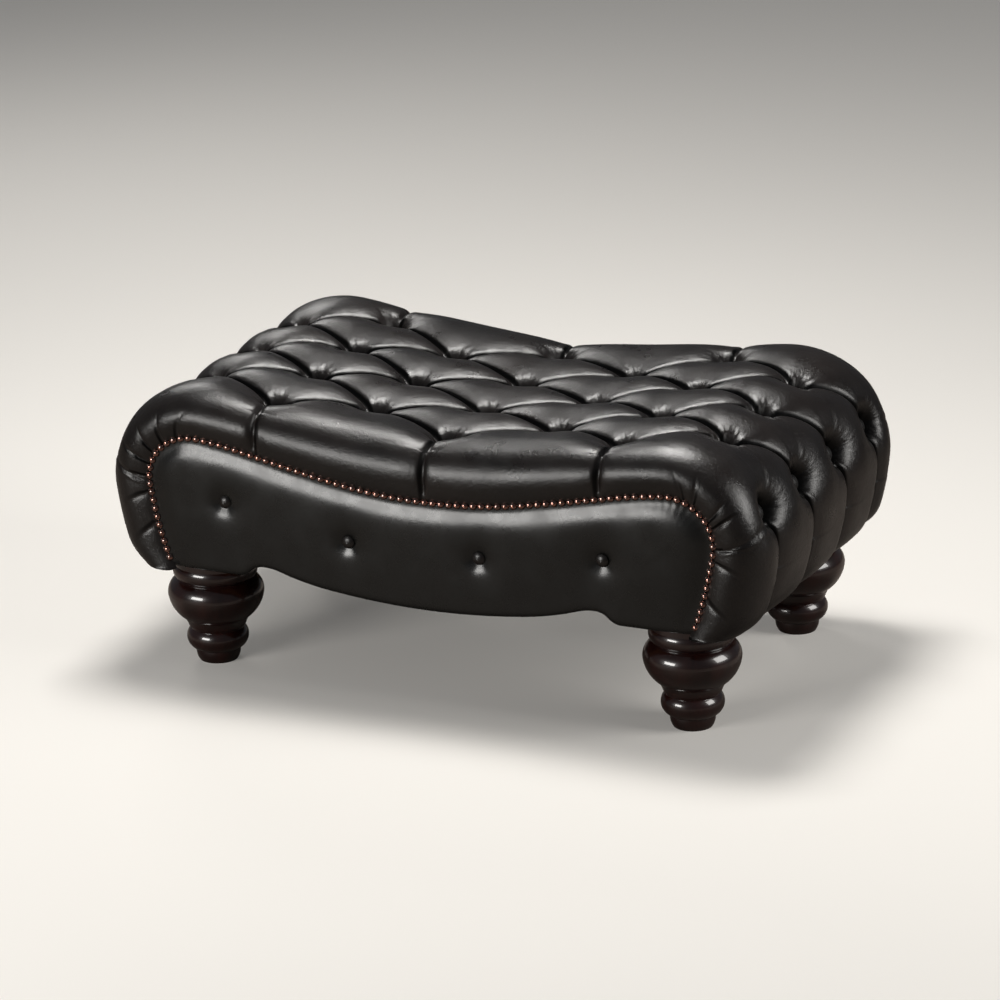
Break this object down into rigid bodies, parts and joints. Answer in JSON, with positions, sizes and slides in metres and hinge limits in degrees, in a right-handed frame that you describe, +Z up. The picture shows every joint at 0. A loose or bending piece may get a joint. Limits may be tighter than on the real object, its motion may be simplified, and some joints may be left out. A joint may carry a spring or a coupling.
{
  "type": "footstool",
  "caption": "Rectangular deep-buttoned leather footstool with a saddle top, rolled edges, nailed facing panels and turned bun feet.",
  "frame": {"origin": "middle of the footprint on the floor", "axes": "+X along the length to the right, -Y to the front facing, +Z up"},
  "size_m": [0.9866, 0.554, 0.4136],
  "materials": {
    "cover_leather": "semi-aniline leather, satin",
    "facing_leather": "semi-aniline leather, smooth satin",
    "foam": "upholstery foam",
    "frame_wood": "sawn beech",
    "foot_wood": "gloss lacquer, dark mahogany",
    "steel": "zinc plated",
    "webbing": "woven jute",
    "hessian": "woven hessian",
    "bottom_cloth": "black non-woven cloth",
    "twine": "waxed linen twine",
    "nail_brass": "antique copper"
  },
  "bodies": {
    "root": {"tufted_cover": "cover_leather", "seat_foam": "foam", "left_end_pad": "foam", "right_end_pad": "foam", "front_facing": "facing_leather", "back_facing": "facing_leather", "front_board": "frame_wood", "back_board": "frame_wood", "left_end_rail": "frame_wood", "right_end_rail": "frame_wood", "left_cross_rail": "frame_wood", "middle_cross_rail": "frame_wood", "right_cross_rail": "frame_wood", "front_ledge": "frame_wood", "back_ledge": "frame_wood", "corner_block_front_left": "frame_wood", "corner_block_front_right": "frame_wood", "corner_block_back_left": "frame_wood", "corner_block_back_right": "frame_wood", "foot_front_left": "foot_wood", "foot_front_right": "foot_wood", "foot_back_left": "foot_wood", "foot_back_right": "foot_wood", "foot_bolts": "steel", "foot_nuts": "steel", "frame_dowels": "frame_wood", "ledge_screws": "steel", "long_webbing": "webbing", "cross_webbing": "webbing", "hessian": "hessian", "bottom_cloth": "bottom_cloth", "tufting_buttons": "cover_leather", "button_twines": "twine", "front_facing_buttons": "facing_leather", "back_facing_buttons": "facing_leather", "front_nails": "nail_brass", "back_nails": "nail_brass"}
  },
  "joints": []
}
